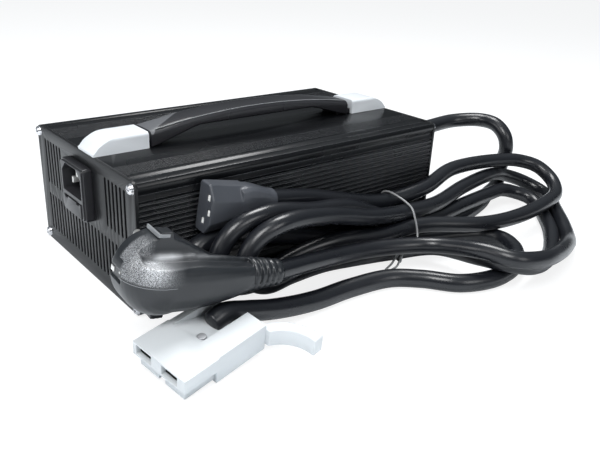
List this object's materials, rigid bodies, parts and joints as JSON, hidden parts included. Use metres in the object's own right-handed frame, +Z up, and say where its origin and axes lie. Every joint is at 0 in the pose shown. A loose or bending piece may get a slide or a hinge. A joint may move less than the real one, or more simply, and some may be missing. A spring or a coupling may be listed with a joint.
{
  "type": "lithium battery charger",
  "caption": "Fan-cooled battery charger in a ribbed extruded case with a strap handle, fused mains inlet, mains lead and output lead with a two-pole connector.",
  "frame": {"origin": "centre of the flat underside of the case, on the surface it stands on", "axes": "+X along the case from the mains inlet end to the output end, +Y across the case away from the bundled leads, +Z up"},
  "size_m": [0.3943, 0.249, 0.096],
  "materials": {
    "case_black": "satin black anodised extrusion",
    "plate_black": "fine-textured satin black paint",
    "screw_steel": "bright plated steel",
    "screw_black": "blackened steel",
    "inlet_plastic": "matte black plastic",
    "contact_metal": "bright nickel-plated brass",
    "fuse_glass": "clear glass tube",
    "cap_grey": "light grey satin plastic",
    "grip_black": "satin black plastic",
    "gland_rubber": "soft black moulding",
    "led_lens": "diffused lens",
    "fan_plastic": "matte black plastic",
    "board_green": "green solder mask",
    "ferrite": "dark grey sintered ferrite",
    "winding_tape": "yellow winding tape",
    "capacitor_sleeve": "shiny dark sleeve",
    "sink_aluminium": "plain extruded aluminium",
    "package_black": "moulded package",
    "copper_wire": "enamelled copper wire",
    "lead_jacket": "satin black flexible jacket",
    "lead_moulding": "satin black soft moulding",
    "connector_shell": "light grey satin plastic",
    "tie_coating": "dark plastic-coated wire"
  },
  "bodies": {
    "chassis": {"top_shell": "case_black", "bottom_shell": "case_black", "inlet_plate": "plate_black", "output_plate": "plate_black", "plate_screws": "screw_steel", "inlet_housing": "inlet_plastic", "inlet_pins": "contact_metal", "handle_cap_left": "cap_grey", "handle_cap_right": "cap_grey", "handle_grip": "grip_black", "handle_screws": "screw_steel", "cable_gland": "gland_rubber", "gland_nut": "inlet_plastic", "status_led": "led_lens", "fan_frame": "fan_plastic", "fan_screws": "screw_black", "circuit_board": "board_green", "board_screws": "screw_steel", "transformer_core": "ferrite", "transformer_winding": "winding_tape", "bulk_capacitors": "capacitor_sleeve", "heat_sinks": "sink_aluminium", "power_transistors": "package_black", "filter_choke": "copper_wire", "output_inductor": "copper_wire", "mains_lead": "lead_jacket", "c13_connector": "lead_moulding", "mains_plug": "lead_moulding", "plug_pins": "contact_metal", "earth_clips": "contact_metal", "dc_lead": "lead_jacket", "battery_connector": "connector_shell", "connector_contacts": "contact_metal", "connector_screw": "screw_steel", "pull_handle": "connector_shell", "tie_wire": "tie_coating"},
    "rotor": {"fan_rotor": "fan_plastic"},
    "drawer": {"fuse_drawer": "inlet_plastic", "fuse": "fuse_glass"}
  },
  "joints": [
    {"name": "fan_spin", "type": "hinge", "parent": "chassis", "child": "rotor", "pos_m": [0.1055, 0.031, 0.04], "axis": [1, 0, 0], "continuous": true},
    {"name": "fuse_drawer_slide", "type": "slide", "parent": "chassis", "child": "drawer", "axis": [-1, 0, 0], "range_m": [0, 0.02]}
  ]
}
